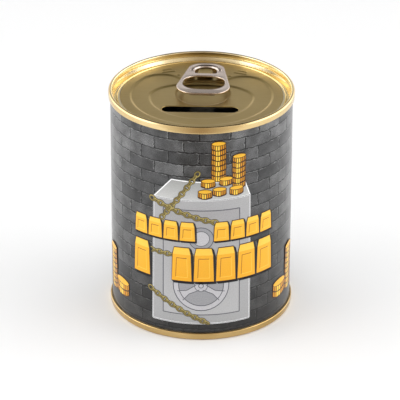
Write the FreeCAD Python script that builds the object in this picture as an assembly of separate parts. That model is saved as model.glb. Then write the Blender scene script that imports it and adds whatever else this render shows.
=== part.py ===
import FreeCAD, Part
import math
import os

from FreeCAD import Vector

# Coin bank jar: a three-piece tinplate can with a ring-pull lid that has a coin slot.
# Millimetres. The can's axis is Z, its base seam rests on z = 0, and the label's front faces -Y.

# Driving dimensions of the can
can_height = 95.0
body_inner_radius = 36.4
body_plate = 0.20
end_plate = 0.24
seam_outer_radius = 37.5
seam_height = 3.0

# Double seams: radii of the five layers, worked out from the plates and one even gap between them
body_outer_radius = body_inner_radius + body_plate
fold_gap = (seam_outer_radius - body_outer_radius - 2 * end_plate - body_plate) / 3
chuck_wall_radius = body_inner_radius - fold_gap - end_plate / 2
body_wall_radius = body_inner_radius + body_plate / 2
cover_hook_radius = body_outer_radius + fold_gap + end_plate / 2
body_hook_radius = cover_hook_radius + end_plate / 2 + fold_gap + body_plate / 2
seaming_wall_radius = seam_outer_radius - end_plate / 2
hook_bend = (seaming_wall_radius - cover_hook_radius) / 2
body_bend = (body_hook_radius - body_wall_radius) / 2
seam_crown_bend = 0.50
body_flange_depth = end_plate + fold_gap + body_plate / 2
cover_hook_depth = 1.05
body_hook_depth = 2.25

# Lid, measured along Z
panel_top = 91.70
step_drop = 0.40
countersink_floor = 90.20
countersink_outer_radius = 35.35
countersink_inner_radius = 34.00
countersink_slope = 0.15
chuck_wall_depth = 2.4
chuck_wall_bend = 1.0
countersink_bend = 0.45
panel_edge_bend = 0.40
score_radius = 32.80
score_gap = 0.10
lid_turn = -3.0

# Recesses pressed into the tear panel, each one step lower than the one before
outer_recess_radius = 28.5
outer_recess_centre = Vector(0, 0.8, 0)
ear_radius = 9.0
ear_angle = 31.0
ear_bridge_y = 14.2
middle_recess_radius = 20.8
middle_recess_depth = 13.0
middle_recess_centre = Vector(0, -0.2, 0)
finger_well_radius = 10.9
finger_well_centre = Vector(0.3, 3.6, 0)

# Coin slot
slot_length = 30.5
slot_width = 5.6
slot_turn = 1.5
slot_centre = Vector(0, -11.5, 0)

# Rivet, and the small stiffening ribs and stops beside the tab
rivet_y = 20.8
rivet_shank_radius = 1.9
rivet_head_radius = 3.10
rivet_head_height = 0.45
stop_radius = 1.0
stop_height = 0.35
stop_place = Vector(10.4, 19.6, 0)
rib_length = 6.0
rib_width = 1.4
rib_height = 0.30
rib_place = Vector(14.6, 22.4, 0)
rib_turn = 18.0

# Pull tab
tab_side = 0.5
tab_turn = -1.2
tab_turn_centre = Vector(tab_side, 8.0, 0)
tab_nose_y = 28.4
tab_front_y = -4.1
tab_rim = 1.4
tab_rim_rounding = 0.60
tab_web = 0.45
tab_tilt = 2.2
tab_clearance = 0.30
tab_outline_corners = ((12.3, tab_front_y, 7.6), (6.5, tab_nose_y, 6.2))
finger_hole_corners = ((8.9, 0.3, 6.3), (8.0, 14.6, 6.0))
nose_hole_corners = ((4.5, 17.4, 1.0), (4.3, 24.4, 4.1))
web_corners = ((6.6, 13.8, 0.8), (5.4, 22.6, 2.0))
tongue_half_width = 3.2
tongue_thickness = 0.35
tongue_root_gap = 0.10
tongue_root_rounding = 0.30

# Bottom end
bottom_countersink = 4.30
bottom_countersink_outer_radius = 35.35
bottom_countersink_inner_radius = 34.45
bottom_panel = 3.10
bottom_panel_radius = 34.20
bottom_bend = 0.40
bead_height = 0.60
bead_outer_radius = 27.5
bead_inner_radius = 20.5
bead_slope = 1.0
bead_bend = 0.5

# Label, its glue and the lacquer over the body's welded side seam
label_thickness = 0.10
label_bottom = 3.10
label_top = 91.90
glue_thickness = 0.025
glue_margin = 2.0
lap_glue_turn = 0.8
lacquer_clearance = 0.005
label_radius = body_outer_radius + lacquer_clearance + glue_thickness
label_lap = 8.0
label_lap_place = 97.0
pickup_glue_width = 6.0
lacquer_thickness = 0.02
lacquer_width = 10.0
lacquer_place = 90.0
lacquer_margin = 1.6

# Sealing compound in the seams
compound_thickness = 0.04
compound_spread = 70.0

# Lengths that only the drawing needs: a stub left between two round ends, a cutter's reach past the
# plate that it cuts, and the distance under which two points are one
round_end_stub = 0.01
cutter_reach = 5.0
same_point = 1e-6


def ribbon(path, bends, plate):
    """Face in the XZ plane: a plate that follows a path of (radius, height) points with rounded corners."""
    corners = [Vector(radius, 0, height) for radius, height in path]
    runs = [(after - before).normalize() for before, after in zip(corners, corners[1:])]
    normals = [Vector(-run.z, 0, run.x) for run in runs]
    sides = []
    for shift in (plate / 2, -plate / 2):
        edges = []
        here = corners[0] + normals[0] * shift
        for index, bend in enumerate(bends):
            corner = corners[index + 1]
            before, after = runs[index], runs[index + 1]
            left_turn = 1 if normals[index].dot(after) > 0 else -1
            reach = bend * math.tan(before.getAngle(after) / 2)
            centre = corner - before * reach + normals[index] * (bend * left_turn)
            start = corner - before * reach + normals[index] * shift
            end = corner + after * reach + normals[index + 1] * shift
            middle = centre + (corner - centre).normalize() * (bend - shift * left_turn)
            if start.distanceToPoint(here) > same_point:
                edges.append(Part.makeLine(here, start))
            edges.append(Part.Arc(start, middle, end).toShape())
            here = end
        last = corners[-1] + normals[-1] * shift
        if last.distanceToPoint(here) > same_point:
            edges.append(Part.makeLine(here, last))
        sides.append((corners[0] + normals[0] * shift, edges, last))
    (left_start, left_edges, left_end), (right_start, right_edges, right_end) = sides
    loop = left_edges + [Part.makeLine(left_end, right_end)]
    loop += right_edges[::-1] + [Part.makeLine(right_start, left_start)]
    return Part.Face(Part.Wire(loop))


def spin(face, sweep=360.0, middle=0.0):
    """Revolve a section about the can's axis, the sweep centred on a compass angle in degrees from +X."""
    solid = face.revolve(Vector(0, 0, 0), Vector(0, 0, 1), sweep)
    solid.rotate(Vector(0, 0, 0), Vector(0, 0, 1), middle - sweep / 2)
    return solid


def curved_sheet(inner, thickness, bottom, top, width=None, middle=0.0):
    """Sheet wrapped round the can: a full tube, or a strip of a given width along the arc."""
    outer = inner + thickness
    corners = [(inner, bottom), (outer, bottom), (outer, top), (inner, top), (inner, bottom)]
    section = Part.Face(Part.makePolygon([Vector(radius, 0, height) for radius, height in corners]))
    sweep = 360.0 if width is None else math.degrees(width / inner)
    return spin(section, sweep, middle)


def rounded_outline(corners, height=0.0):
    """Closed outline, symmetric about Y, from its right-hand corners (x, y, radius) listed front to back."""
    right = list(corners)
    loop = right + [(-x, y, radius) for x, y, radius in reversed(right)]
    points = [Vector(x, y, height) for x, y, _ in loop]
    edges = []
    ends = []
    for index, (_, _, radius) in enumerate(loop):
        corner, before, after = points[index], points[index - 1], points[(index + 1) % len(loop)]
        back, ahead = (before - corner).normalize(), (after - corner).normalize()
        half = back.getAngle(ahead) / 2
        start, end = corner + back * (radius / math.tan(half)), corner + ahead * (radius / math.tan(half))
        inward = (back + ahead).normalize()
        middle = corner + inward * (radius / math.sin(half) - radius)
        edges.append(Part.Arc(start, middle, end).toShape())
        ends.append((start, end))
    links = [Part.makeLine(ends[index - 1][1], ends[index][0]) for index in range(len(ends))]
    return Part.Wire([edge for pair in zip(links, edges) for edge in pair])


def prism(wire, bottom, top):
    """Solid between two heights with the given outline, drawn at z = 0."""
    solid = Part.Face(wire).extrude(Vector(0, 0, top - bottom))
    solid.translate(Vector(0, 0, bottom))
    return solid


def disc(radius, bottom, top, centre=Vector(0, 0, 0)):
    return Part.makeCylinder(radius, top - bottom, centre + Vector(0, 0, bottom))


def turned(shape):
    """Turn a lid piece to the place where the lid was seamed on, relative to the label."""
    shape.rotate(Vector(0, 0, 0), Vector(0, 0, 1), lid_turn)
    return shape


def seam_path():
    """End plate at the top seam, from its cover hook over the crown to the top of the chuck wall."""
    crown = can_height - end_plate / 2
    fold = can_height - seam_height + end_plate / 2
    path = [(cover_hook_radius, can_height - cover_hook_depth), (cover_hook_radius, fold)]
    path += [(seaming_wall_radius, fold), (seaming_wall_radius, crown), (chuck_wall_radius, crown)]
    bends = [hook_bend, hook_bend, seam_crown_bend, seam_crown_bend]
    return path, bends


def can_body():
    """Welded cylinder with both ends flanged and folded into the seams' body hooks."""
    low, high = body_flange_depth, can_height - body_flange_depth
    path = [(body_hook_radius, can_height - body_hook_depth), (body_hook_radius, high)]
    path += [(body_wall_radius, high), (body_wall_radius, low), (body_hook_radius, low)]
    path += [(body_hook_radius, body_hook_depth)]
    return spin(ribbon(path, [body_bend] * 4, body_plate))


def top_end_ring():
    """Outer part of the lid, which stays on the can: seam, chuck wall, countersink, edge of the panel."""
    path, bends = seam_path()
    floor = countersink_floor - end_plate / 2
    panel = panel_top - end_plate / 2
    path += [(chuck_wall_radius, can_height - chuck_wall_depth), (countersink_outer_radius, floor)]
    path += [(countersink_inner_radius, floor), (countersink_inner_radius - countersink_slope, panel)]
    path += [(score_radius + score_gap / 2, panel)]
    bends += [chuck_wall_bend, countersink_bend, countersink_bend, panel_edge_bend]
    return spin(ribbon(path, bends, end_plate))


def bottom_end():
    """Bottom of the can: the same seam turned over, a countersink and a panel with one expansion step."""
    path, bends = seam_path()
    path = [(radius, can_height - height) for radius, height in path]
    panel = bottom_panel + end_plate / 2
    path += [(chuck_wall_radius, chuck_wall_depth), (bottom_countersink_outer_radius, bottom_countersink)]
    path += [(bottom_countersink_inner_radius, bottom_countersink)]
    path += [(bottom_panel_radius, panel), (bead_outer_radius, panel)]
    path += [(bead_outer_radius - bead_slope, panel + bead_height), (bead_inner_radius, panel + bead_height)]
    path += [(bead_inner_radius - bead_slope, panel), (0, panel)]
    bends += [chuck_wall_bend] + [bottom_bend] * 3 + [bead_bend] * 4
    return spin(ribbon(path, bends, end_plate))


def seam_compound(at_top):
    """Ring of sealing compound squeezed between the body's flange and the crown of the end."""
    radius = body_bend + body_plate / 2 + fold_gap / 2
    height = can_height - body_flange_depth - body_bend
    rims = [radius - compound_thickness / 2, radius + compound_thickness / 2]
    centre = Vector(cover_hook_radius, 0, height)
    angles = [math.radians(90 + spread) for spread in (-compound_spread, 0, compound_spread)]
    spots = [[centre + Vector(rim * math.cos(a), 0, rim * math.sin(a)) for a in angles] for rim in rims]
    arcs = [Part.Arc(*three).toShape() for three in spots]
    caps = [Part.makeLine(spots[0][2], spots[1][2]), Part.makeLine(spots[1][0], spots[0][0])]
    ring = spin(Part.Face(Part.Wire([arcs[0], caps[0], arcs[1], caps[1]])))
    if at_top:
        return ring
    return ring.mirror(Vector(0, 0, can_height / 2), Vector(0, 0, 1))


def outer_recess_outline(grow=0.0):
    """Round recess whose back ends in two ears, one each side of the tab's rivet."""
    reach = outer_recess_radius - ear_radius
    lean = math.radians(ear_angle)
    ear = outer_recess_centre + Vector(reach * math.cos(lean), reach * math.sin(lean), 0)
    bridge = ear_bridge_y + grow
    radius = ear_radius + grow
    fall = math.asin((bridge - ear.y) / radius)
    touch = ear + Vector(radius * math.cos(lean), radius * math.sin(lean), 0)
    tip = ear + Vector(0, radius, 0)
    foot = ear + Vector(-radius * math.cos(fall), radius * math.sin(fall), 0)
    front = outer_recess_centre - Vector(0, outer_recess_radius + grow, 0)
    left = [Vector(-point.x, point.y, 0) for point in (touch, tip, foot)]
    edges = [Part.Arc(touch, tip, foot).toShape(), Part.makeLine(foot, left[2])]
    edges += [Part.Arc(left[2], left[1], left[0]).toShape(), Part.Arc(left[0], front, touch).toShape()]
    return Part.Wire(edges)


def middle_recess_outline(grow=0.0):
    """Recess round the coin slot: half a circle in front and half an ellipse behind."""
    wide = middle_recess_radius + grow
    sides = [middle_recess_centre + Vector(x, 0, 0) for x in (wide, -wide)]
    back = Part.Ellipse(middle_recess_centre, wide, middle_recess_depth + grow).toShape(0, math.pi)
    front = Part.Arc(sides[1], middle_recess_centre - Vector(0, wide, 0), sides[0]).toShape()
    return Part.Wire([back, front])


def finger_well_outline(grow=0.0):
    return Part.Wire(Part.makeCircle(finger_well_radius + grow, finger_well_centre))


def slot_solid():
    """Cutter for the coin slot: straight sides and round ends."""
    half, end = slot_length / 2, slot_width / 2
    outline = rounded_outline([(half, -end, end - round_end_stub), (half, end, end - round_end_stub)])
    cutter = prism(outline, panel_top - cutter_reach, panel_top + cutter_reach)
    cutter.rotate(Vector(0, 0, 0), Vector(0, 0, 1), slot_turn)
    cutter.translate(slot_centre)
    return cutter


def panel_marks(side):
    """Embossed stop and rib beside the tab, on one side of it."""
    base = panel_top - end_plate / 2
    stop = disc(stop_radius, base, panel_top + stop_height, Vector(side * stop_place.x, stop_place.y, 0))
    half, end = rib_length / 2, rib_width / 2
    outline = rounded_outline([(half, -end, end - round_end_stub), (half, end, end - round_end_stub)])
    rib = prism(outline, base, panel_top + rib_height)
    rib.rotate(Vector(0, 0, 0), Vector(0, 0, 1), -side * rib_turn)
    rib.translate(Vector(side * rib_place.x, rib_place.y, 0))
    return [stop, rib]


def tear_panel():
    """Everything inside the score, with its pressed steps, the coin slot and the rivet drawn up from it."""
    under = panel_top - end_plate
    panel = disc(score_radius - score_gap / 2, under, panel_top)
    outlines = (outer_recess_outline, middle_recess_outline, finger_well_outline)
    for level, outline in enumerate(outlines):
        drop = level * step_drop
        panel = panel.fuse(prism(outline(end_plate), under - drop - step_drop, under - drop))
    for level, outline in enumerate(outlines):
        drop = level * step_drop
        panel = panel.cut(prism(outline(), panel_top - drop - step_drop, panel_top - drop))
    tongue_top = panel_top + tab_clearance + tongue_thickness
    place = Vector(tab_side, rivet_y, 0)
    shank = disc(rivet_shank_radius, under, tongue_top, place)
    head = disc(rivet_head_radius, tongue_top, tongue_top + rivet_head_height, place)
    marks = panel_marks(1) + panel_marks(-1)
    panel = panel.fuse([shank, head] + marks)
    return turned(panel.cut(slot_solid()).removeSplitter())


def tab_tongue():
    """Flat tongue of the tab that the rivet holds; the tab bends free of it along its root."""
    root = nose_hole_corners[0][1] + tongue_root_gap
    tip = rivet_y + tongue_half_width
    bottom = panel_top + tab_clearance
    corners = [(tongue_half_width, root, tongue_root_rounding)]
    corners += [(tongue_half_width, tip, tongue_half_width - 2 * round_end_stub)]
    strip = prism(rounded_outline(corners), bottom, bottom + tongue_thickness)
    strip.translate(Vector(tab_side, 0, 0))
    place = Vector(tab_side, rivet_y, 0)
    hole = disc(rivet_shank_radius, bottom - cutter_reach, bottom + cutter_reach, place)
    return turned(strip.cut(hole))


def pull_tab():
    """Ring and nose of the tab: a curled rim round its two holes, and a thin web between them."""
    middle = tab_rim / 2
    plate = prism(rounded_outline(tab_outline_corners), -middle, middle)
    plate = plate.cut(prism(rounded_outline(finger_hole_corners), -tab_rim, tab_rim))
    plate = plate.cut(prism(rounded_outline(nose_hole_corners), -tab_rim, tab_rim))
    rim_edges = [edge for edge in plate.Edges if abs(abs(edge.CenterOfMass.z) - middle) < same_point]
    rim = plate.makeFillet(tab_rim_rounding, rim_edges)
    web = rounded_outline(web_corners)
    rim = rim.cut(prism(web, tab_web / 2, tab_rim)).cut(prism(web, -tab_rim, -tab_web / 2))
    nose = Vector(0, tab_nose_y - middle, panel_top + tab_clearance + middle)
    rim.translate(Vector(tab_side, 0, nose.z))
    rim.rotate(nose, Vector(1, 0, 0), -tab_tilt)
    rim.rotate(tab_turn_centre, Vector(0, 0, 1), tab_turn)
    return turned(rim)


def label_wrap():
    """Printed paper label: one turn round the can and a lap glued over its own start at the back."""
    tube = curved_sheet(label_radius, label_thickness, label_bottom, label_top)
    lap_radius = label_radius + label_thickness + glue_thickness
    lap = curved_sheet(lap_radius, label_thickness, label_bottom, label_top, label_lap, label_lap_place)
    join_place = label_lap_place - math.degrees(label_lap / 2 / lap_radius)
    join = curved_sheet(label_radius, lap_radius + label_thickness - label_radius, label_bottom, label_top,
                        2 * label_thickness, join_place)
    return tube.fuse([lap, join]).removeSplitter()


def label_glue(radius, width, place):
    """Upright line of glue that stops short of the label's two edges."""
    bottom, top = label_bottom + glue_margin, label_top - glue_margin
    return curved_sheet(radius, glue_thickness, bottom, top, width, place)


def label_lap_glue():
    """Glue under the lap, which starts where the label bends over its own edge."""
    place = label_lap_place + lap_glue_turn
    return label_glue(label_radius + label_thickness, label_lap - glue_margin, place)


def label_pickup_glue():
    """Glue that holds the label's start on the can."""
    place = label_lap_place + math.degrees((label_lap / 2 + pickup_glue_width) / label_radius)
    return label_glue(body_outer_radius + lacquer_clearance, pickup_glue_width, place)


def side_seam_lacquer(inner):
    """Stripe of lacquer over the body's weld, between the two seams."""
    return curved_sheet(inner, lacquer_thickness, seam_height + lacquer_margin,
                        can_height - seam_height - lacquer_margin, lacquer_width, lacquer_place)


def main():
    os.makedirs("parts", exist_ok=True)
    inside_stripe_radius = body_inner_radius - lacquer_clearance - lacquer_thickness
    nodes = {
        "can_body": can_body(),
        "side_seam_lacquer_inside": side_seam_lacquer(inside_stripe_radius),
        "side_seam_lacquer_outside": side_seam_lacquer(body_outer_radius + lacquer_clearance),
        "bottom_end": bottom_end(),
        "bottom_seam_compound": seam_compound(at_top=False),
        "top_end_ring": top_end_ring(),
        "top_seam_compound": seam_compound(at_top=True),
        "tear_panel": tear_panel(),
        "tab_tongue": tab_tongue(),
        "pull_tab": pull_tab(),
        "label_wrap": label_wrap(),
        "label_lap_glue": label_lap_glue(),
        "label_pickup_glue": label_pickup_glue(),
    }
    for name, shape in nodes.items():
        shape.exportStep(f"parts/{name}.step")
        box = shape.BoundBox
        print(f"{name:26s} valid {shape.isValid()} solids {len(shape.Solids)} volume {shape.Volume:9.1f} "
              f"z {box.ZMin:.2f} to {box.ZMax:.2f} width {box.XLength:.2f}")


main()
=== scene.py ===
import math
import random

import bmesh
import bpy
import numpy as np
from mathutils import Matrix, Vector


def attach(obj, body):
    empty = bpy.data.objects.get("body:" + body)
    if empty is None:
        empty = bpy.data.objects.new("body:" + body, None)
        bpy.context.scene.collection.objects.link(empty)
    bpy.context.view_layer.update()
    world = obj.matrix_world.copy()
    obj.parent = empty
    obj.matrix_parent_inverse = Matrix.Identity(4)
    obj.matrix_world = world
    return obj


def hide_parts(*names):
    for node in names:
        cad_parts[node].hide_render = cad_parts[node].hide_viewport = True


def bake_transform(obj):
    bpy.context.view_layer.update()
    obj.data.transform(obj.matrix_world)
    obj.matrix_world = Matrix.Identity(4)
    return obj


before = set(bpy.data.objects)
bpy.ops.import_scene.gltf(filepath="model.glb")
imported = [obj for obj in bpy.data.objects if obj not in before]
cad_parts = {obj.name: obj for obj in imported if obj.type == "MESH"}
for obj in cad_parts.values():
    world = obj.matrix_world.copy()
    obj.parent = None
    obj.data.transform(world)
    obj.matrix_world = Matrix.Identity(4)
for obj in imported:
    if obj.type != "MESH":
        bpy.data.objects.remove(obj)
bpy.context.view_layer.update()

MM = 0.001
TAU = 2 * math.pi
random.seed(7)

# Sizes that the CAD model shares, in millimetres. The can's axis is Z and its front faces -Y.
CAN_HEIGHT = 95.0
BODY_INNER = 36.4
BODY_PLATE = 0.20
END_PLATE = 0.24
SEAM_OUTER = 37.5
SEAM_HEIGHT = 3.0
COVER_HOOK_DEPTH = 1.05
BODY_HOOK_DEPTH = 2.25
CHUCK_WALL_DEPTH = 2.4
COUNTERSINK_FLOOR = 90.20
COUNTERSINK_OUTER = 35.35
COUNTERSINK_INNER = 34.0
COUNTERSINK_SLOPE = 0.15
BOTTOM_COUNTERSINK = 4.30
BOTTOM_COUNTERSINK_INNER = 34.45
BOTTOM_PANEL = 3.10
BOTTOM_PANEL_RADIUS = 34.20
BEAD_OUTER, BEAD_INNER = 27.5, 20.5
BEAD_SLOPE = 1.0
BEAD_HEIGHT = 0.6

# Lid: panel edge, the three pressed recesses, coin slot and the marks beside the tab
PANEL_TOP = 91.70
PANEL_RADIUS = 32.75
RING_INNER = 32.85
STEP_DROP = 0.40
OUTER_RECESS_RADIUS = 28.5
OUTER_RECESS_Y = 0.8
EAR_RADIUS = 9.0
EAR_ANGLE = 31.0
EAR_BRIDGE_Y = 14.2
MIDDLE_RECESS_RADIUS = 20.8
MIDDLE_RECESS_DEPTH = 13.0
MIDDLE_RECESS_Y = -0.2
FINGER_WELL_RADIUS = 10.9
FINGER_WELL_CENTRE = (0.3, 3.6)
SLOT_LENGTH, SLOT_WIDTH = 30.5, 5.6
SLOT_TURN = math.radians(1.5)
SLOT_Y = -11.5
STOP_PLACE = (10.4, 19.6)
RIB_PLACE = (14.6, 22.4)
BACK_RIB_PLACE = (15.4, 24.6)
LID_TURN = math.radians(-3.0)

# Tab: outlines as right-hand corners (x, y, radius), the tilt's axis as (y, z), and the tongue
TAB_OUTLINE = ((12.3, -4.1, 7.6), (6.5, 28.4, 6.2))
FINGER_HOLE = ((8.9, 0.3, 6.3), (8.0, 14.6, 6.0))
NOSE_HOLE = ((4.5, 17.4, 1.0), (4.3, 24.4, 4.1))
TAB_TILT = math.radians(2.2)
TAB_NOSE = (27.7, 92.7)
TAB_SIDE = 0.5
TAB_TURN = math.radians(-1.2)
TAB_TURN_Y = 8.0
TAB_CLEARANCE = 0.30
TONGUE_THICKNESS = 0.35
TONGUE_HALF_WIDTH = 3.2
RIVET_Y = 20.8

# Label: the paper's two faces, its edges, and the lap's length, place and gap
LABEL_BOTTOM, LABEL_TOP = 3.1, 91.9
LABEL_INNER, LABEL_OUTER = 36.63, 36.73
LAP_LENGTH = 8.0
LAP_TURN = math.radians(180 - 7)
LAP_GAP = 0.01
PAPER = LABEL_OUTER - LABEL_INNER

# Details that only the visual model has: softer bends, a rolled slot edge and the ink's thickness
CROWN_BENDS = [0.85, 0.45]
BEND_SLACK = 1e-4
SLOT_LIP = 0.26
CUTTER_HEIGHTS = (85.0, 97.0)
STEP_HALF_SLOPE = 0.70
RAYS = 480
INK_GAP = 0.004
INK_LIFT = 0.016


# ---- mesh helpers ----

def new_object(name, data):
    """Object at the origin, linked to the scene."""
    piece = bpy.data.objects.new(name, data)
    bpy.context.collection.objects.link(piece)
    return piece


def mesh_in_mm(name, vertices, faces):
    """New mesh from points in millimetres."""
    mesh = bpy.data.meshes.new(name)
    mesh.from_pydata([tuple(c * MM for c in v) for v in vertices], [], faces)
    return mesh


def make_object(name, vertices, faces, materials, body, slot, smooth_angle=32.0):
    """New piece from points in millimetres and faces."""
    return finish_object(name, mesh_in_mm(name, vertices, faces), materials, body, slot, smooth_angle)


def finish_object(name, mesh, materials, body, slot, smooth_angle=32.0):
    """Piece from a mesh: normals outwards, smooth except at sharp edges, riding on a body if one is given."""
    bm = bmesh.new()
    bm.from_mesh(mesh)
    bmesh.ops.recalc_face_normals(bm, faces=bm.faces)
    bm.to_mesh(mesh)
    bm.free()
    for polygon in mesh.polygons:
        polygon.use_smooth = True
    mesh.set_sharp_from_angle(angle=math.radians(smooth_angle))
    for material in materials:
        mesh.materials.append(material)
    piece = new_object(name, mesh)
    if body:
        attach(piece, body)
    return piece


def plate_section(path, bends, plate, steps=10):
    """Closed outline of a plate that follows (radius, height) points with rounded corners."""
    corners = [Vector(point) for point in path]
    runs = [(b - a).normalized() for a, b in zip(corners, corners[1:])]
    normals = [Vector((-run.y, run.x)) for run in runs]
    sides = []
    for shift in (plate / 2, -plate / 2):
        side = [corners[0] + normals[0] * shift]
        for index, bend in enumerate(bends):
            corner = corners[index + 1]
            turn = 1 if normals[index].dot(runs[index + 1]) > 0 else -1
            reach = bend * math.tan(runs[index].angle(runs[index + 1]) / 2)
            centre = corner - runs[index] * reach + normals[index] * (bend * turn)
            first = corner - runs[index] * reach - centre
            total = runs[index].angle(runs[index + 1]) * turn
            scale = (bend - shift * turn) / bend
            for step in range(steps + 1):
                arm = Matrix.Rotation(total * step / steps, 2) @ first
                side.append(centre + arm * scale)
        side.append(corners[-1] + normals[-1] * shift)
        sides.append(side)
    return sides[0] + sides[1][::-1]


def lathe(name, outline, materials, body, slot, segments=288):
    """Solid of revolution about Z from a closed (radius, height) outline."""
    vertices, rings = [], []
    for radius, height in outline:
        if radius < 1e-6:
            rings.append([len(vertices)] * segments)
            vertices.append((0, 0, height))
            continue
        rings.append(list(range(len(vertices), len(vertices) + segments)))
        angles = [TAU * k / segments for k in range(segments)]
        vertices += [(radius * math.cos(a), radius * math.sin(a), height) for a in angles]
    faces = []
    for ring, following in zip(rings, rings[1:] + rings[:1]):
        for k in range(segments):
            m = (k + 1) % segments
            face = list(dict.fromkeys((ring[k], ring[m], following[m], following[k])))
            if len(face) > 2:
                faces.append(face)
    return make_object(name, vertices, faces, materials, body, slot)


def grid_faces(rows, columns, start=0, closed=True):
    """Quads between rows of points stored one after another; closed rows meet their own start."""
    faces = []
    for row in range(rows - 1):
        faces += row_faces(start + row * columns, start + (row + 1) * columns, columns, closed)
    return faces


def row_faces(first, second, columns, closed=True):
    """Quads between two rows of points that start at the given numbers."""
    steps = [(k, (k + 1) % columns) for k in range(columns if closed else columns - 1)]
    return [(first + k, first + m, second + m, second + k) for k, m in steps]


def rounded_outline(corners, step=0.35):
    """Points of a closed outline, symmetric about Y, from its right-hand corners (x, y, radius)."""
    loop = list(corners) + [(-x, y, r) for x, y, r in reversed(corners)]
    points = [Vector((x, y)) for x, y, _ in loop]
    outline = []
    for index, (_, _, radius) in enumerate(loop):
        corner, before, after = points[index], points[index - 1], points[(index + 1) % len(loop)]
        back, ahead = (before - corner).normalized(), (after - corner).normalized()
        half = back.angle(ahead) / 2
        centre = corner + (back + ahead).normalized() * (radius / math.sin(half))
        first = corner + back * (radius / math.tan(half)) - centre
        sweep = math.pi - 2 * half
        count = max(6, int(radius * sweep / step))
        outline += [centre + Matrix.Rotation(sweep * k / count, 2) @ first for k in range(count + 1)]
    return even_loop([(p.x, p.y) for p in outline], step)


def offset_loop(corners, by):
    """Rounded outline moved outwards, or inwards if negative, as a list of points."""
    points = rounded_outline(corners, 0.3)
    return [tuple(p) for p in points + by * loop_normals(points)]


def even_loop(points, step):
    """The same closed line with evenly spaced points."""
    loop = np.array(points + points[:1])
    lengths = np.concatenate([[0], np.cumsum(np.hypot(*np.diff(loop, axis=0).T))])
    count = max(12, int(lengths[-1] / step))
    places = np.linspace(0, lengths[-1], count, endpoint=False)
    return np.stack([np.interp(places, lengths, loop[:, k]) for k in (0, 1)], 1)


def loop_normals(points):
    """Outward unit normals of a closed counter-clockwise line."""
    along = np.roll(points, -1, axis=0) - np.roll(points, 1, axis=0)
    along /= np.linalg.norm(along, axis=1)[:, None]
    return np.stack([along[:, 1], -along[:, 0]], 1)


def turned(x, y, angle, middle=(0.0, 0.0)):
    """Point turned about the origin and then moved to a middle."""
    c, s = math.cos(angle), math.sin(angle)
    return middle[0] + c * x - s * y, middle[1] + s * x + c * y


def on_lid(points):
    """Points of the lid's own frame, turned to where the lid was seamed on."""
    return [(*turned(x, y, LID_TURN), z) for x, y, z in points]


def on_tab(points):
    """Points of the flat tab, tilted about its nose, turned a little on its rivet and turned with the lid."""
    placed = []
    for x, y, z in points:
        ahead, height = turned(y - TAB_NOSE[0], z, -TAB_TILT, TAB_NOSE)
        placed.append((*turned(x, ahead - TAB_TURN_Y, TAB_TURN, (TAB_SIDE, TAB_TURN_Y)), height))
    return on_lid(placed)


# ---- materials ----

def new_material(name, base, metallic=0.0, roughness=0.5, coat=0.0, coat_roughness=0.1, specular=0.5):
    material = bpy.data.materials.new(name)
    material.use_nodes = True
    shader = material.node_tree.nodes["Principled BSDF"]
    inputs = {"Base Color": (*base, 1), "Metallic": metallic, "Roughness": roughness, "Coat Weight": coat,
              "Coat Roughness": coat_roughness, "Specular IOR Level": specular}
    for key, value in inputs.items():
        shader.inputs[key].default_value = value
    return material


class Nodes:
    """Short names for the few node operations that the materials and the world use."""

    def __init__(self, owner):
        self.tree = owner.node_tree

    def add(self, kind, inputs, **settings):
        """New node with its settings, each named input fed by another node's output or a value."""
        node = self.tree.nodes.new(kind)
        for key, value in settings.items():
            setattr(node, key, value)
        for key, value in inputs.items():
            self.feed(node, key, value)
        return node

    def feed(self, node, key, value):
        if isinstance(value, bpy.types.NodeSocket):
            self.tree.links.new(value, node.inputs[key])
        else:
            node.inputs[key].default_value = value

    def shade(self, key, value):
        self.feed(self.tree.nodes["Principled BSDF"], key, value)

    def place(self, kind="Object"):
        return self.add("ShaderNodeTexCoord", {}).outputs[kind]

    def label_place(self):
        return self.add("ShaderNodeUVMap", {}, uv_map="label_mm").outputs["UV"]

    def split(self, vector):
        return tuple(self.add("ShaderNodeSeparateXYZ", {"Vector": vector}).outputs)

    def noise(self, vector, scale, detail=3.0, stretch=(1, 1, 1)):
        place = self.add("ShaderNodeMapping", {"Scale": stretch, "Vector": vector}).outputs["Vector"]
        inputs = {"Scale": scale, "Detail": detail, "Vector": place}
        return self.add("ShaderNodeTexNoise", inputs).outputs["Fac"]

    def span(self, value, low, high, new_low, new_high):
        inputs = {"Value": value, "From Min": low, "From Max": high, "To Min": new_low, "To Max": new_high}
        return self.add("ShaderNodeMapRange", inputs).outputs["Result"]

    def ramp(self, value, stops):
        node = self.add("ShaderNodeValToRGB", {"Fac": value})
        elements = node.color_ramp.elements
        while len(elements) < len(stops):
            elements.new(0.5)
        for element, (place, colour) in zip(elements, stops):
            element.position = place
            element.color = (*colour, 1)
        return node.outputs["Color"]

    def mix(self, kind, factor, a, b):
        first, second = ((*colour, 1) if isinstance(colour, tuple) else colour for colour in (a, b))
        inputs = {"Factor": factor, 6: first, 7: second}
        return self.add("ShaderNodeMix", inputs, data_type="RGBA", blend_type=kind).outputs[2]

    def maths(self, operation, *values):
        return self.add("ShaderNodeMath", dict(enumerate(values)), operation=operation).outputs["Value"]

    def bump(self, height, strength, distance):
        node = self.add("ShaderNodeBump", {"Strength": strength, "Distance": distance, "Height": height})
        self.shade("Normal", node.outputs["Normal"])


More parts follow.
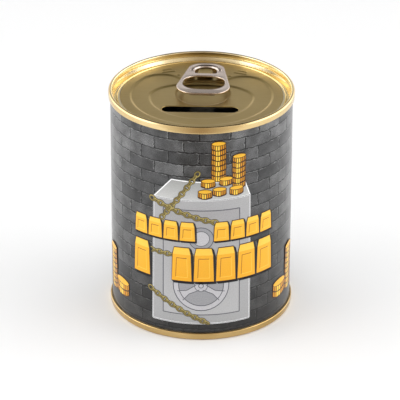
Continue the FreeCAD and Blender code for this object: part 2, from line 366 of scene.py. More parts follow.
def lacquered_metal(name, light, dark, roughness, grain, bump, coat, inner=None):
    """Tinplate under a tinted lacquer: slight colour drift, uneven gloss and rolling marks.

    inner is the colour inside the seam's crown: a paler painted highlight that stands in for the bright
    reflections on the chuck wall and countersink.
    """
    material = new_material(name, light, metallic=1.0, roughness=roughness, coat=coat, coat_roughness=0.08)
    n = Nodes(material)
    place = n.place()
    drift = n.noise(place, 45.0)
    colour = n.mix("MIX", n.span(drift, 0.3, 0.7, 0, 1), light, dark)
    if inner:
        x, y, _ = n.split(place)
        reach = n.maths("SQRT", n.maths("ADD", n.maths("POWER", x, 2.0), n.maths("POWER", y, 2.0)))
        # Painted highlight: paler colour inside the seam's crown
        crown = n.span(reach, 36.3 * MM, 36.9 * MM, 0, 1)
        colour = n.mix("MIX", crown, inner, colour)
    n.shade("Base Color", colour)
    marks = n.noise(place, 900.0, 4.0, grain)
    n.shade("Roughness", n.span(marks, 0.25, 0.75, roughness * 0.8, roughness * 1.25))
    n.bump(marks, bump, 0.00004)
    return material


def soft_sealant(name, colour, roughness):
    """Matt paste or varnish with a fine grain."""
    material = new_material(name, colour, roughness=roughness)
    n = Nodes(material)
    grain = n.noise(n.place(), 1500.0, 4.0)
    dark = tuple(c * 0.75 for c in colour)
    n.shade("Base Color", n.mix("MIX", grain, colour, dark))
    n.bump(grain, 0.2, 0.00005)
    return material


def brick_print():
    """Printed brick wall on coated paper, drawn in the label's own millimetres: u along the arc, v up."""
    material = new_material("printed_brick", (0.2, 0.2, 0.2), roughness=0.34, coat=0.45, coat_roughness=0.08,
                            specular=0.25)
    n = Nodes(material)
    uv = n.label_place()
    wobble = n.add("ShaderNodeTexNoise", {"Scale": 0.55, "Detail": 3.0, "Vector": uv}, noise_dimensions="2D")
    uneven = n.add("ShaderNodeVectorMath", {0: wobble.outputs["Color"], 1: (1.5, 1.1, 0), 2: uv},
                   operation="MULTIPLY_ADD").outputs["Vector"]
    lit = n.add("ShaderNodeVectorMath", {0: uneven, 1: (0.32, 0.30, 0)}, operation="ADD").outputs["Vector"]
    pattern = {"Scale": 1.0, "Mortar Size": 0.24, "Mortar Smooth": 0.1, "Brick Width": 12.5,
               "Row Height": 5.25, "Bias": 0.0, "Color1": (0.026, 0.026, 0.027, 1),
               "Color2": (0.085, 0.085, 0.086, 1), "Mortar": (0.004, 0.004, 0.004, 1)}
    wall, rim = (n.add("ShaderNodeTexBrick", {**pattern, "Vector": place}, offset=0.5)
                 for place in (uneven, lit))
    blotch = n.noise(uv, 0.16, 4.0)
    speck = n.noise(uv, 3.2, 6.0)
    colour = wall.outputs["Color"]
    for fleck, low, high in ((blotch, 0.5, 1.7), (speck, 0.35, 1.8)):
        colour = n.mix("MULTIPLY", 1.0, colour, n.ramp(fleck, [(0.3, (low,) * 3), (0.7, (high,) * 3)]))
    edge = n.maths("SUBTRACT", rim.outputs["Fac"], wall.outputs["Fac"])
    patchy = n.span(n.noise(uv, 0.5), 0.42, 0.62, 0.0, 0.55)
    colour = n.mix("MIX", n.maths("MULTIPLY", edge, patchy), colour, (0.26, 0.26, 0.26))
    _, height, _ = n.split(uv)
    # Darker towards the bottom, brighter towards the top
    height_tone = n.ramp(n.span(height, 0, CAN_HEIGHT, 0, 1),
                  [(0.0, (0.25, 0.24, 0.23)), (0.45, (0.80, 0.80, 0.80)), (1.0, (1.25, 1.25, 1.25))])
    n.shade("Base Color", n.mix("MULTIPLY", 1.0, colour, height_tone))
    n.shade("Roughness", n.span(speck, 0.3, 0.7, 0.30, 0.42))
    n.bump(n.noise(uv, 2.0), 0.05, 0.00005)
    return material


def ink(name, low, high=None, bottom=0.0, top=CAN_HEIGHT, speckle=0.10):
    """Printed colour that runs from one tone to another up the label, with the paper's fine mottling."""
    material = new_material("ink_" + name, low, roughness=0.36, coat=0.3, coat_roughness=0.10, specular=0.3)
    n = Nodes(material)
    uv = n.label_place()
    _, height, _ = n.split(uv)
    tone = n.ramp(n.span(height, bottom, top, 0, 1), [(0, low), (1, high or low)])
    mottle = n.ramp(n.noise(uv, 2.2), [(0.3, (1 - speckle,) * 3), (0.7, (1 + speckle,) * 3)])
    n.shade("Base Color", n.mix("MULTIPLY", 1.0, tone, mottle))
    return material


# Stretch of the rolling marks: round the can, across the lid's panel, and along the tab
ROUND_GRAIN, PANEL_GRAIN, TAB_GRAIN = (0.3, 0.3, 4.0), (0.15, 3.0, 1.0), (1.0, 0.3, 1.0)

# The rim's gold carries a painted highlight: paler inside the seam's crown, on the chuck wall and countersink
GOLD = lacquered_metal("gold_lacquer_rim", (0.83, 0.64, 0.33), (0.72, 0.52, 0.24), 0.15,
                       ROUND_GRAIN, bump=0.01, coat=0.1, inner=(0.88, 0.74, 0.45))
# Painted shade: a darker copy of the rim's gold for the bottom end, standing in for its dim reflections down
# by the floor
SHADED_BASE_GOLD = lacquered_metal("gold_lacquer_base_painted_shade", (0.66, 0.46, 0.20), (0.50, 0.33, 0.12), 0.15,
                            ROUND_GRAIN, bump=0.02, coat=0.1)
PANEL_GOLD = lacquered_metal("gold_lacquer_panel", (0.55, 0.41, 0.165), (0.48, 0.35, 0.13), 0.38,
                             PANEL_GRAIN, bump=0.015, coat=0.05)
TIN = lacquered_metal("bare_tinplate", (0.66, 0.66, 0.67), (0.58, 0.58, 0.60), 0.32,
                      ROUND_GRAIN, bump=0.05, coat=0.0)
TAB_STEEL = lacquered_metal("tab_tinplate", (0.64, 0.54, 0.47), (0.54, 0.44, 0.38), 0.15,
                            TAB_GRAIN, bump=0.04, coat=0.1)
COMPOUND = soft_sealant("sealing_compound", (0.55, 0.52, 0.45), 0.75)
LACQUER = soft_sealant("side_seam_lacquer", (0.70, 0.66, 0.55), 0.30)
GLUE = soft_sealant("label_glue", (0.83, 0.79, 0.66), 0.35)
BRICK = brick_print()


# ---- tin ----

SEAM_GAP = (SEAM_OUTER - BODY_INNER - 2 * BODY_PLATE - 2 * END_PLATE) / 3
CHUCK_WALL = BODY_INNER - SEAM_GAP - END_PLATE / 2
BODY_WALL = BODY_INNER + BODY_PLATE / 2
COVER_HOOK = BODY_INNER + BODY_PLATE + SEAM_GAP + END_PLATE / 2
BODY_HOOK = COVER_HOOK + END_PLATE / 2 + SEAM_GAP + BODY_PLATE / 2
SEAMING_WALL = SEAM_OUTER - END_PLATE / 2


def seam_path():
    """Plate line of an end at the top seam, from the cover hook over the crown, with its bends."""
    crown, fold = CAN_HEIGHT - END_PLATE / 2, CAN_HEIGHT - SEAM_HEIGHT + END_PLATE / 2
    path = [(COVER_HOOK, CAN_HEIGHT - COVER_HOOK_DEPTH), (COVER_HOOK, fold), (SEAMING_WALL, fold)]
    path += [(SEAMING_WALL, crown), (CHUCK_WALL, crown)]
    hook_bend = (SEAMING_WALL - COVER_HOOK) / 2 - BEND_SLACK
    return path, [hook_bend] * 2 + CROWN_BENDS


def make_lid_ring():
    """Part of the lid that stays on the can: seam, chuck wall, countersink and the edge of the panel."""
    path, bends = seam_path()
    panel, floor = PANEL_TOP - END_PLATE / 2, COUNTERSINK_FLOOR - END_PLATE / 2
    path += [(CHUCK_WALL, CAN_HEIGHT - CHUCK_WALL_DEPTH), (COUNTERSINK_OUTER, floor)]
    path += [(COUNTERSINK_INNER, floor), (COUNTERSINK_INNER - COUNTERSINK_SLOPE, panel), (RING_INNER, panel)]
    section = plate_section(path, bends + [1.0, 0.45, 0.45, 0.4], END_PLATE)
    ring = lathe("seamed_lid_ring", section, [GOLD], "can", "gold_tinplate")
    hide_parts("top_end_ring")


def make_bottom():
    """Bottom end: the same seam turned over, a countersink and a panel with one raised step."""
    path, bends = seam_path()
    path = [(radius, CAN_HEIGHT - height) for radius, height in path]
    panel = BOTTOM_PANEL + END_PLATE / 2
    bead = panel + BEAD_HEIGHT
    path += [(CHUCK_WALL, CHUCK_WALL_DEPTH), (COUNTERSINK_OUTER, BOTTOM_COUNTERSINK)]
    path += [(BOTTOM_COUNTERSINK_INNER, BOTTOM_COUNTERSINK), (BOTTOM_PANEL_RADIUS, panel)]
    path += [(BEAD_OUTER, panel), (BEAD_OUTER - BEAD_SLOPE, bead), (BEAD_INNER, bead)]
    path += [(BEAD_INNER - BEAD_SLOPE, panel), (0, panel)]
    section = plate_section(path, bends + [1.0, 0.4, 0.4, 0.4] + [0.5] * 4, END_PLATE)
    # The bottom end takes the darker gold with its painted shade
    bottom = lathe("seamed_bottom", section, [SHADED_BASE_GOLD], "can", "gold_tinplate")
    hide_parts("bottom_end")


def make_can_wall():
    """Welded cylinder with both ends folded into the seams."""
    depth = END_PLATE + SEAM_GAP + BODY_PLATE / 2
    path = [(BODY_HOOK, CAN_HEIGHT - BODY_HOOK_DEPTH), (BODY_HOOK, CAN_HEIGHT - depth)]
    path += [(BODY_WALL, CAN_HEIGHT - depth), (BODY_WALL, depth)]
    path += [(BODY_HOOK, depth), (BODY_HOOK, BODY_HOOK_DEPTH)]
    bend = (BODY_HOOK - BODY_WALL) / 2 - BEND_SLACK
    section = plate_section(path, [bend] * 4, BODY_PLATE)
    cylinder = lathe("welded_can_wall", section, [TIN], "can", "bare_tinplate")
    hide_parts("can_body")


# ---- label ----

def wrap(u, v, radius):
    """Point on the label: u millimetres along the arc from the front, v above the base."""
    angle = u / LABEL_OUTER
    return (radius * math.sin(angle), -radius * math.cos(angle), v)


def finish_label(name, vertices, flat, faces, materials, smooth_angle, paint=None):
    """Piece of the label that also stores each corner's place on the flat sheet, in millimetres."""
    mesh = mesh_in_mm(name, vertices, faces)
    layer = mesh.uv_layers.new(name="label_mm")
    for loop in mesh.loops:
        layer.data[loop.index].uv = flat[loop.vertex_index]
    for polygon, index in zip(mesh.polygons, paint or []):
        polygon.material_index = index
    return finish_object(name, mesh, materials, "can", "printed_label", smooth_angle)


def label_strip(name, first, last, inner, outer, step=0.64):
    """Closed strip of paper wrapped on the can between two arc lengths."""
    columns = int((last - first) / step) + 1
    places = [first + (last - first) * k / (columns - 1) for k in range(columns)]
    edge = [(inner, LABEL_BOTTOM), (outer, LABEL_BOTTOM), (outer, LABEL_TOP), (inner, LABEL_TOP)]
    flat = [(u, v) for u in places for _, v in edge]
    vertices = [wrap(u, v, radius) for u in places for radius, v in edge]
    faces = grid_faces(columns, len(edge))
    faces += [tuple(range(len(edge))), tuple(range(len(vertices) - len(edge), len(vertices)))]
    return finish_label(name, vertices, flat, faces, [BRICK], 32.0)


def make_label():
    """One turn of paper whose ends meet under a lap at the back."""
    half = math.pi * LABEL_OUTER
    sheet = label_strip("label_sheet", -half, half, LABEL_INNER, LABEL_OUTER)
    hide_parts("label_wrap")
    middle, inner = -LAP_TURN * LABEL_OUTER, LABEL_OUTER + LAP_GAP
    label_strip("label_lap", middle - LAP_LENGTH / 2, middle + LAP_LENGTH / 2, inner, inner + PAPER)


def flat_shapes(polygons):
    """Triangles of flat polygons, cut each millimetre along the arc so that they follow the can."""
    bm = bmesh.new()
    for polygon in polygons:
        bm.faces.new([bm.verts.new((u, v, 0)) for u, v in polygon])
    bmesh.ops.triangulate(bm, faces=bm.faces)
    places = [v.co.x for v in bm.verts]
    cut, last = math.floor(min(places)) + 0.5, max(places)
    while cut < last:
        geometry = list(bm.verts) + list(bm.edges) + list(bm.faces)
        bmesh.ops.bisect_plane(bm, geom=geometry, plane_co=(cut, 0, 0), plane_no=(1, 0, 0), dist=1e-5)
        cut += 1.0
    bmesh.ops.recalc_face_normals(bm, faces=bm.faces)
    bm.verts.index_update()
    return bm


def print_shapes(name, layers):
    """Print: thin raised shapes on the label, from (polygons, material, level) with polygons in (u, v)."""
    vertices, flat, faces, paint, materials = [], [], [], [], []
    inner = LABEL_OUTER + INK_GAP
    for polygons, material, level in layers:
        if material not in materials:
            materials.append(material)
        bm = flat_shapes(polygons)
        top, base = len(vertices), len(vertices) + len(bm.verts)
        for radius in (inner + INK_LIFT * (level + 1), inner):
            vertices += [wrap(v.co.x, v.co.y, radius) for v in bm.verts]
            flat += [(v.co.x, v.co.y) for v in bm.verts]
        for face in bm.faces:
            corners = [v.index for v in face.verts]
            faces += [[top + k for k in corners], [base + k for k in reversed(corners)]]
        for edge in bm.edges:
            if edge.is_boundary:
                a, b = (v.index for v in edge.verts)
                faces.append([top + a, top + b, base + b, base + a])
        paint += [materials.index(material)] * (len(faces) - len(paint))
        bm.free()
    finish_label(name, vertices, flat, faces, materials, 25.0, paint)


# Flat shapes for the print, as lists of (u, v) points

def box(u0, v0, u1, v1):
    return [(u0, v0), (u1, v0), (u1, v1), (u0, v1)]


def oval(u, v, ru, rv, start=0.0, end=360.0, count=28):
    """Closed oval, or the line of an arc of one with both its ends."""
    steps = count if end - start >= 360 else count - 1
    angles = [math.radians(start + (end - start) * k / steps) for k in range(count)]
    return [(u + ru * math.cos(a), v + rv * math.sin(a)) for a in angles]


def band(points, width, closed=False):
    """Line of a given width through the points, as one quad per run."""
    quads = []
    for (u0, v0), (u1, v1) in zip(points, points[1:] + (points[:1] if closed else [])):
        length = math.hypot(u1 - u0, v1 - v0)
        du, dv = (v0 - v1) / length * width / 2, (u1 - u0) / length * width / 2
        quads.append([(u0 + du, v0 + dv), (u0 - du, v0 - dv), (u1 - du, v1 - dv), (u1 + du, v1 + dv)])
    return quads


def annulus(middle, outer, inner, sides=(0.0, 0.0), turn=0.0, start=0.0, end=360.0, count=36):
    """Ring, or part of one, as quads: a circle, or an oval whose half-axes are longer by the sides."""
    quads = []
    for k in range(count):
        a, b = (math.radians(start + (end - start) * j / count) for j in (k, k + 1))
        quad = []
        for reach, angle in ((inner, a), (outer, a), (outer, b), (inner, b)):
            x, y = (sides[0] + reach) * math.cos(angle), (sides[1] + reach) * math.sin(angle)
            quad.append(turned(x, y, turn, middle))
        quads.append(quad)
    return quads


def grown(polygon, by):
    """The polygon with every point moved away from its middle by a distance."""
    mu = sum(u for u, _ in polygon) / len(polygon)
    mv = sum(v for _, v in polygon) / len(polygon)
    moved = []
    for u, v in polygon:
        length = math.hypot(u - mu, v - mv)
        moved.append((u + (u - mu) / length * by, v + (v - mv) / length * by))
    return moved


SAFE_LIGHT = ink("safe_edge", (0.95, 0.95, 0.95))
SAFE_WHEEL = ink("safe_wheel", (0.52, 0.51, 0.53))
SAFE_FACE = ink("safe_face", (0.38, 0.38, 0.385), (0.40, 0.395, 0.40), 7, 63)
SAFE_TOP = ink("safe_top", (0.56, 0.56, 0.55), (0.34, 0.34, 0.33), 62, 71)
SAFE_DOOR = ink("safe_door", (0.47, 0.47, 0.475), (0.36, 0.35, 0.355), 8, 58)
SAFE_LINE = ink("safe_line", (0.10, 0.10, 0.12))
SAFE_SHADE = ink("safe_shade", (0.32, 0.32, 0.335))
COIN_TOP = ink("coin_top", (0.86, 0.46, 0.025), speckle=0.05)
COIN_SIDE = ink("coin_side", (0.66, 0.28, 0.004), speckle=0.08)
COIN_GLINT = ink("coin_glint", (0.98, 0.62, 0.06), speckle=0.05)
COIN_LINE = ink("coin_line", (0.055, 0.018, 0.003), speckle=0.02)
CHAIN_GOLD = ink("chain_gold", (0.22, 0.165, 0.04))
CHAIN_LIGHT = ink("chain_light", (0.58, 0.47, 0.16))
CHAIN_LINE = ink("chain_line", (0.030, 0.025, 0.014))
BAR_FACE = ink("bar_face", (0.88, 0.41, 0.010), (0.92, 0.48, 0.025), 26, 53, 0.04)
BAR_LIGHT = ink("bar_light", (0.95, 0.58, 0.06), speckle=0.03)
BAR_DARK = ink("bar_dark", (0.40, 0.13, 0.008), speckle=0.03)
SHADOW = ink("drop_shadow", (0.010, 0.010, 0.011), speckle=0.02)


def print_safe():
    """Drawing of a safe: top and front faces, door frame, dial and hand wheel."""
    front = [(-20.4, 7.3), (20.5, 7.3), (20.3, 62.9), (-19.7, 62.5)]
    top = [front[3], front[2], (17.6, 70.2), (-12.0, 71.3)]
    door = [(-15.7, 11.3), (15.9, 11.3), (15.7, 58.1), (-15.5, 58.4)]
    wheel, dial = (0.0, 24.6), (0.0, 45.8)
    arm = [(1.5, -1.3), (6.0, -0.9), (9.8, -2.3), (9.8, 2.3), (6.0, 0.9), (1.5, 1.3)]
    spokes = [[turned(u, v, math.radians(angle), wheel) for u, v in arm] for angle in (90, 210, 330)]
    edges = band(front, 0.55, True) + band(top[1:] + top[:1], 0.45)
    lines = band(door, 0.32, True) + band(front, 0.22, True)
    circles = [(wheel, 11.5, 11.15), (wheel, 9.25, 8.95), (wheel, 2.7, 2.45), (wheel, 1.1, 0.8)]
    circles += [(dial, 5.1, 4.8), (dial, 3.4, 3.15)]
    for middle, outer, inner in circles:
        lines += annulus(middle, outer, inner)
    for spoke in spokes:
        lines += band(spoke[:3], 0.28) + band(spoke[3:], 0.28)
    shade = [oval(*wheel, 11.3, 11.3, count=48), oval(*dial, 5.0, 5.0, count=32)]
    hubs = [oval(*wheel, 2.6, 2.6), oval(*dial, 3.3, 3.3)]
    print_shapes("printed_safe", [
        ([front], SAFE_FACE, 0), ([top], SAFE_TOP, 0), ([door], SAFE_DOOR, 1), (shade, SAFE_SHADE, 2),
        (annulus(wheel, 11.3, 9.1) + spokes, SAFE_WHEEL, 3), (hubs, SAFE_WHEEL, 4), (edges, SAFE_LIGHT, 4),
        (lines, SAFE_LINE, 5)])


# Coins as drawn: depth of the upper face to its width, sideways play in a stack, dark gap between two coins
COIN_TILT = 0.30
COIN_PLAY = 0.18
COIN_GAP = 0.42
COIN_LEVEL = 7.0


def coin_prints(u, base, width, count, pitch):
    """Layers of print for a stack of coins, seen a little from above."""
    half, depth = width / 2, width * COIN_TILT / 2
    prints = []
    for index in range(count):
        middle = u + random.uniform(-COIN_PLAY, COIN_PLAY)
        low = base + depth + index * pitch
        high = base + depth + (index + 1) * pitch
        corners = [(middle + half, high), (middle - half, high)]
        outline = grown(oval(middle, low, half, depth, 180, 360, 15) + corners, 0.36)
        side = oval(middle, low + COIN_GAP, half, depth, 180, 360, 15) + corners
        glint = box(middle - half * 0.45, low - depth * 0.80, middle + half * 0.15, high)
        ridges = []
        for place in (-0.82, -0.50, -0.15, 0.20, 0.55, 0.85):
            x = middle + place * half
            drop = depth * math.sqrt(1 - place * place)
            ridges.append(box(x - 0.15, low - drop + 0.10, x + 0.15, high - drop - 0.15))
        level = COIN_LEVEL + index * 2.0
        prints += [([outline], COIN_LINE, level), ([side], COIN_SIDE, level + 0.5)]
        prints += [([glint], COIN_GLINT, level + 1.0), (ridges, COIN_LINE, level + 1.5)]
    face = oval(middle, high, half, depth)
    level = COIN_LEVEL + count * 2.0
    return prints + [([grown(face, 0.34)], COIN_LINE, level), ([face], COIN_TOP, level + 0.5)]


def print_coins():
    """Stacks of coins on and beside the safe, each from its place, base, width, number of coins and pitch."""
    on_safe = [(6.9, 71.0, 5.3, 7, 2.25), (15.3, 66.9, 5.2, 6, 2.25)]
    loose = [(2.6, 68.3, 5.2, 1, 2.3), (10.0, 68.9, 5.1, 1, 2.3), (1.6, 63.5, 5.2, 1, 2.4),
             (7.2, 64.5, 5.1, 1, 2.3), (14.1, 64.2, 5.4, 1, 2.4)]
    beside = [(-47.2, 10.2, 7.2, 8, 2.25), (-38.6, 10.6, 9.2, 2, 2.6), (38.5, 10.4, 9.2, 2, 2.6),
              (47.3, 10.2, 7.2, 8, 2.35)]
    for number, stack in enumerate(on_safe + loose + beside):
        print_shapes(f"printed_coins_{number + 1:02d}", coin_prints(*stack))


def print_chains():
    """Chains of oval links, every other one seen edge on, each from its two ends, links and link size."""
    runs = [((-1.6, 74.4), (-16.0, 54.0), 15, 1.95), ((-20.3, 61.4), (5.4, 53.0), 15, 2.2),
            ((-20.8, 38.4), (16.0, 37.2), 22, 2.0), ((-21.2, 20.8), (2.2, 7.8), 16, 2.05)]
    for number, (start, end, links, size) in enumerate(runs):
        outline, metal, light = [], [], []
        du, dv = end[0] - start[0], end[1] - start[1]
        turn = math.atan2(dv, du)
        wire = size * 0.135
        for k in range(links):
            t = k / (links - 1)
            middle = (start[0] + du * t, start[1] + dv * t - 0.4 * math.sin(math.pi * t))
            flat_on = k % 2 == 0
            sides = (size * 0.62, size * (0.46 if flat_on else 0.20))
            hole = -wire if flat_on else -sides[1] * 0.7
            outline += annulus(middle, wire + 0.16, -wire - 0.12, sides, turn, count=18)
            metal += annulus(middle, wire, hole, sides, turn, count=18)
            light += annulus(middle, size * 0.075, 0.0, sides, turn, 20, 160, 8)
        print_shapes(f"printed_chain_{number + 1}", [(outline, CHAIN_LINE, 7), (metal, CHAIN_GOLD, 7.6),
                                                     (light, CHAIN_LIGHT, 8.2)])


def ingot(u, v, wide, high, top):
    """Plain gold ingot seen from a little above: its front, upper face and the panel sunk in its front."""
    half, taper, depth = wide / 2, wide * 0.05, wide * 0.08
    front = [(u - half, v), (u + half, v), (u + half - taper, v + high), (u - half + taper, v + high)]
    far = half - taper - depth
    upper = [front[3], front[2], (u + far, v + high + top), (u - far, v + high + top)]
    edge = min(wide, high) * 0.20
    slim = half - edge
    sunk = [(u - slim, v + edge), (u + slim, v + edge), (u + slim - taper * 0.8, v + high - edge),
            (u - slim + taper * 0.8, v + high - edge)]
    return front, upper, sunk


def print_bars():
    """Two rows of plain gold ingots with drop shadows, each row with one place left empty."""
    # Base, height of the front and of the upper face, first and last end, places, empty place, shadow's drop
    rows = [(44.7, 6.2, 1.9, -29.4, 32.0, 9, 4, 0.6), (26.6, 11.8, 3.0, -30.2, 32.4, 7, 1, 0.9)]
    for number, (base, high, top, first, last, count, gap, drop) in enumerate(rows):
        pitch = (last - first) / count
        shadow, outline, face, light, dark = [], [], [], [], []
        for k in [k for k in range(count) if k != gap]:
            front, upper, sunk = ingot(first + pitch * (k + 0.5), base, pitch * 0.90, high, top)
            whole = [front[0], front[1], front[2], upper[2], upper[3], front[3]]
            for step in (0.0, 0.34, 0.67, 1.0):
                shadow.append([(a + drop * step, b - drop * step) for a, b in grown(whole, 0.38)])
            outline.append(grown(whole, 0.12))
            face.append(front)
            light += [upper] + band(sunk[:2], 0.26) + band(sunk[1:3], 0.22)
            dark += band([sunk[3], sunk[2]], 0.30) + band([sunk[0], sunk[3]], 0.24)
        print_shapes(f"printed_gold_bars_{number + 1}", [
            (shadow, SHADOW, 9), (outline, BAR_DARK, 9.6), (face, BAR_FACE, 10), (light, BAR_LIGHT, 11),
            (dark, BAR_DARK, 11.4)])


# ---- lid ----

PANEL_MIDDLE = np.array([0.0, 1.0])
PANEL_PIECE = ([PANEL_GOLD], "panel", "gold_tinplate")


def ray_outline(points):
    """Points of a closed outline on evenly turned rays from the panel's middle, with soft corners."""
    arms = np.array(points) - PANEL_MIDDLE
    angles = np.arctan2(arms[:, 1], arms[:, 0])
    order = np.argsort(angles)
    rays = np.linspace(-math.pi, math.pi, RAYS, endpoint=False)
    reach = np.interp(rays, angles[order], np.linalg.norm(arms, axis=1)[order], period=TAU)
    kernel = np.exp(-0.5 * (np.arange(-6, 7) / 2.0) ** 2)
    kernel /= kernel.sum()
    reach = np.convolve(np.concatenate([reach[-6:], reach, reach[:6]]), kernel, mode="valid")
    return PANEL_MIDDLE + reach[:, None] * np.stack([np.cos(rays), np.sin(rays)], 1)


def circle(centre, radius, start=0.0, end=360.0, count=361):
    angles = np.radians(np.linspace(start, end, count))
    return [(centre[0] + radius * math.cos(a), centre[1] + radius * math.sin(a)) for a in angles]


def recess_outlines():
    """The panel's edge and the three pressed steps inside it, outermost first."""
    reach, lean = OUTER_RECESS_RADIUS - EAR_RADIUS, math.radians(EAR_ANGLE)
    ear = (reach * math.cos(lean), OUTER_RECESS_Y + reach * math.sin(lean))
    fall = math.degrees(math.asin((EAR_BRIDGE_Y - ear[1]) / EAR_RADIUS))
    right = circle(ear, EAR_RADIUS, EAR_ANGLE, 180 - fall, 120)
    left = [(-x, y) for x, y in right]
    bridge = [(x, EAR_BRIDGE_Y) for x in np.linspace(right[-1][0], left[-1][0], 40)[1:-1]]
    outer = circle((0, OUTER_RECESS_Y), OUTER_RECESS_RADIUS, 180 - EAR_ANGLE, 360 + EAR_ANGLE)
    outer += right + bridge + left[::-1]
    turns = np.radians(np.linspace(0, 360, 361))
    depths = np.where(np.sin(turns) > 0, MIDDLE_RECESS_DEPTH, MIDDLE_RECESS_RADIUS)
    middle = [(MIDDLE_RECESS_RADIUS * math.cos(a), MIDDLE_RECESS_Y + depth * math.sin(a))
              for a, depth in zip(turns, depths)]
    lines = (circle((0, 0), PANEL_RADIUS), outer, middle, circle(FINGER_WELL_CENTRE, FINGER_WELL_RADIUS))
    return [ray_outline(line) for line in lines]


def panel_rings():
    """Rings of the panel's upper face from the edge inwards, as (outline, height), and the level inside."""
    edge, *steps = recess_outlines()
    samples = 11
    before = edge - 0.05 * loop_normals(edge)
    rings = [(edge, PANEL_TOP - 0.04), (before, PANEL_TOP)]
    level = PANEL_TOP
    for outline, fill in zip(steps, (7, 9, 11)):
        normals = loop_normals(outline)
        start = outline + STEP_HALF_SLOPE * normals
        rings += [(before + (start - before) * k / fill, level) for k in range(1, fill + 1)]
        for t in (k / samples for k in range(1, samples + 1)):
            fallen = STEP_DROP * t * t * (3 - 2 * t)
            rings.append((outline + STEP_HALF_SLOPE * (1 - 2 * t) * normals, level - fallen))
        level -= STEP_DROP
        before = rings[-1][0]
    middle = np.array(FINGER_WELL_CENTRE)
    rings += [(middle + (before - middle) * (1 - k / 9), level) for k in range(1, 9)]
    return rings, level


def slot_outline(grow=0.0):
    """Coin slot's stadium outline, grown outwards, with its own small turn."""
    half, radius = (SLOT_LENGTH - SLOT_WIDTH) / 2, SLOT_WIDTH / 2 + grow
    points = []
    for side in (1, -1):
        for a in np.linspace(-math.pi / 2, math.pi / 2, 25):
            points.append((side * (half + radius * math.cos(a)), side * radius * math.sin(a)))
    return [turned(x, y, SLOT_TURN, (0, SLOT_Y)) for x, y in points]


def cut_slot(panel):
    """Open the coin slot in the panel with a boolean, then drop the cutter."""
    outline = slot_outline(SLOT_LIP)
    count = len(outline)
    vertices = [(x, y, z) for z in CUTTER_HEIGHTS for x, y in outline]
    faces = grid_faces(2, count) + [tuple(range(count)), tuple(range(2 * count - 1, count - 1, -1))]
    cutter = new_object("cutter", mesh_in_mm("cutter", on_lid(vertices), faces))
    modifier = panel.modifiers.new("slot", "BOOLEAN")
    modifier.operation = "DIFFERENCE"
    modifier.solver = "EXACT"
    modifier.object = cutter
    opened = evaluated_mesh(panel)
    panel.modifiers.clear()
    panel.data = opened
    opened.set_sharp_from_angle(angle=math.radians(32))
    bpy.data.objects.remove(cutter)


def evaluated_mesh(piece):
    """New mesh of a piece with its modifiers, or its curve's bevel, applied."""
    return bpy.data.meshes.new_from_object(piece.evaluated_get(bpy.context.evaluated_depsgraph_get()))


def make_panel():
    """Panel inside the score: three pressed steps and the coin slot."""
    rings, level = panel_rings()
    upper = [(x, y, z) for outline, z in rings for x, y in outline] + [(*FINGER_WELL_CENTRE, level)]
    lower = [(x, y, z - END_PLATE) for x, y, z in upper]
    count = len(upper)
    last = (len(rings) - 1) * RAYS
    faces = grid_faces(len(rings), RAYS) + [(last + k, last + (k + 1) % RAYS, count - 1) for k in range(RAYS)]
    faces += [tuple(count + k for k in reversed(face)) for face in faces]
    faces += row_faces(0, count, RAYS)
    panel = make_object("tear_off_panel", on_lid(upper + lower), faces, *PANEL_PIECE)
    cut_slot(panel)
    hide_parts("tear_panel")


def make_slot_lip():
    """Rolled edge of the coin slot: the plate curls down into the hole."""
    level = PANEL_TOP - 2 * STEP_DROP
    outline = np.array(slot_outline())
    normals = loop_normals(outline)
    foot = level - SLOT_LIP - 0.08
    bend = SLOT_LIP - END_PLATE
    profile = [(SLOT_LIP * (1 - math.sin(a)), level - SLOT_LIP * (1 - math.cos(a)))
               for a in np.linspace(0, math.pi / 2, 8)]
    profile += [(0.0, foot), (END_PLATE, foot)]
    profile += [(END_PLATE + bend * (1 - math.sin(a)), level - END_PLATE - bend * (1 - math.cos(a)))
                for a in np.linspace(math.pi / 2, 0, 6)[:-1]]
    profile.append((SLOT_LIP, level - END_PLATE))
    points = [(*(outline[k] + normals[k] * off), z) for off, z in profile for k in range(len(outline))]
    faces = grid_faces(len(profile), len(outline))
    faces += row_faces((len(profile) - 1) * len(outline), 0, len(outline))
    make_object("coin_slot_lip", on_lid(points), faces, *PANEL_PIECE, 40)


def make_dome(name, place, length, half_width, height, turn):
    """Small embossed bump or rib that rises smoothly out of the panel."""
    around, rows = 48, 9
    points = []
    for t in (row / rows for row in range(rows + 1)):
        rise = height * 0.5 * (1 - math.cos(math.pi * t))
        for a in (TAU * (k + 0.5) / around for k in range(around)):
            x = math.copysign(length / 2, math.cos(a)) + half_width * (1 - t) * math.cos(a)
            y = half_width * (1 - t) * math.sin(a)
            points.append((*turned(x, y, math.radians(turn), place), PANEL_TOP + 0.002 + rise))
    start = len(points)
    points += [(x, y, PANEL_TOP - 0.12) for x, y, _ in points[:around]]
    faces = grid_faces(rows + 1, around) + [tuple(range(rows * around, start))]
    faces += row_faces(0, start, around) + [tuple(range(start + around - 1, start - 1, -1))]
    make_object(name, on_lid(points), faces, *PANEL_PIECE, 50)


def make_marks():
    """Stops and ribs embossed beside the tab. Each has a length, half a width, a height and a turn."""
    for side, word in ((1, "right"), (-1, "left")):
        for name, (x, y), length, half_width, height, turn in (
                ("tab_stop", STOP_PLACE, 0.0, 1.1, 0.28, 0), ("panel_rib", RIB_PLACE, 4.6, 0.75, 0.22, -18),
                ("panel_rib_back", BACK_RIB_PLACE, 3.4, 0.6, 0.16, -22)):
            make_dome(f"{name}_{word}", (side * x, y), length, half_width, height, side * turn)


